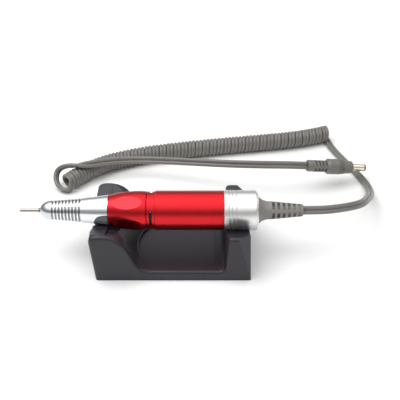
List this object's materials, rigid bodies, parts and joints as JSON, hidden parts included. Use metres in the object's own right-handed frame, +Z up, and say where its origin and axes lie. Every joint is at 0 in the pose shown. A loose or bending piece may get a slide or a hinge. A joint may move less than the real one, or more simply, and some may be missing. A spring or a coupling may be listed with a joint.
{
  "type": "electric nail drill",
  "caption": "Pen-shaped electric nail drill with a twist-lock collet, lying in its moulded cradle with a curly power cord and plug.",
  "frame": {"origin": "on the table, in the middle of the footprint of the drill and its cradle, without the cord", "axes": "+X along the drill from the bit to the cord, +Z up"},
  "size_m": [0.2599, 0.1937, 0.0489],
  "materials": {
    "cradle_plastic": "satin moulded, charcoal",
    "chrome": "mirror polished",
    "red_anodised": "satin red anodised",
    "blasted_aluminium": "bead blasted",
    "steel": "ground",
    "black_steel": "black oxide",
    "brass": "turned",
    "nickel": "nickel plated",
    "grey_rubber": "soft grey moulding",
    "black_rubber": "moulded",
    "grey_pvc": "soft grey cable jacket",
    "black_plastic": "moulded",
    "ferrite": "sintered",
    "copper": "enamelled winding",
    "carbon": "pressed carbon"
  },
  "bodies": {
    "cradle": {"cradle": "cradle_plastic", "cord_lead": "grey_pvc", "cord_coil": "grey_pvc", "plug_lead": "grey_pvc", "plug_body": "grey_pvc", "plug_barrel": "nickel", "plug_insulator": "black_plastic", "plug_contact": "nickel"},
    "handpiece": {"nose_cone": "chrome", "dust_seal": "black_rubber", "front_tube": "steel", "motor_housing": "red_anodised", "rear_cap": "blasted_aluminium", "strain_relief": "grey_rubber", "cable_tail": "grey_pvc", "bearing_outers": "steel", "motor_can": "steel", "motor_screws": "black_steel", "damping_sleeve": "black_rubber", "motor_magnets": "ferrite", "motor_bushes": "brass", "brushes": "carbon", "brush_springs": "steel", "brush_holders": "brass", "motor_end_plate": "black_plastic", "motor_terminals": "brass", "supply_wires": "black_plastic"},
    "lock_sleeve": {"twist_sleeve": "red_anodised", "lock_ring": "black_steel", "guide_pins": "steel"},
    "release": {"push_ring": "steel", "drive_pins": "steel"},
    "collet": {"collet": "brass", "drawbar": "steel", "release_collar": "steel", "cross_pin": "steel", "collet_spring": "steel"},
    "bit": {"bit_shank": "steel"},
    "rotor": {"spindle": "steel", "bearing_inners": "steel", "bearing_balls": "chrome", "spring_seat": "steel", "spindle_coupling": "black_plastic", "motor_shaft": "steel", "rotor_core": "black_steel", "rotor_windings": "copper", "commutator": "copper", "motor_coupling": "black_plastic"}
  },
  "joints": [
    {"name": "handpiece_lift", "type": "slide", "parent": "cradle", "child": "handpiece", "axis": [0, 0, 1], "range_m": [0, 0.06]},
    {"name": "lock_twist", "type": "hinge", "parent": "handpiece", "child": "lock_sleeve", "pos_m": [-0.02275, 0, 0.035], "axis": [1, 0, 0], "range_deg": [0, 45]},
    {"name": "release_slide", "type": "slide", "parent": "handpiece", "child": "release", "axis": [-1, 0, 0], "range_m": [0, 0.0008]},
    {"name": "motor_spin", "type": "hinge", "parent": "handpiece", "child": "rotor", "pos_m": [0.01725, 0, 0.035], "axis": [1, 0, 0], "continuous": true},
    {"name": "collet_slide", "type": "slide", "parent": "rotor", "child": "collet", "axis": [-1, 0, 0], "range_m": [0, 0.0008]},
    {"name": "bit_pull", "type": "slide", "parent": "collet", "child": "bit", "axis": [-1, 0, 0], "range_m": [0, 0.03]}
  ],
  "couplings": [
    {"joint": "release_slide", "follows": "lock_twist", "m_per_rad": 0.0010186},
    {"joint": "collet_slide", "follows": "lock_twist", "m_per_rad": 0.0010186}
  ]
}
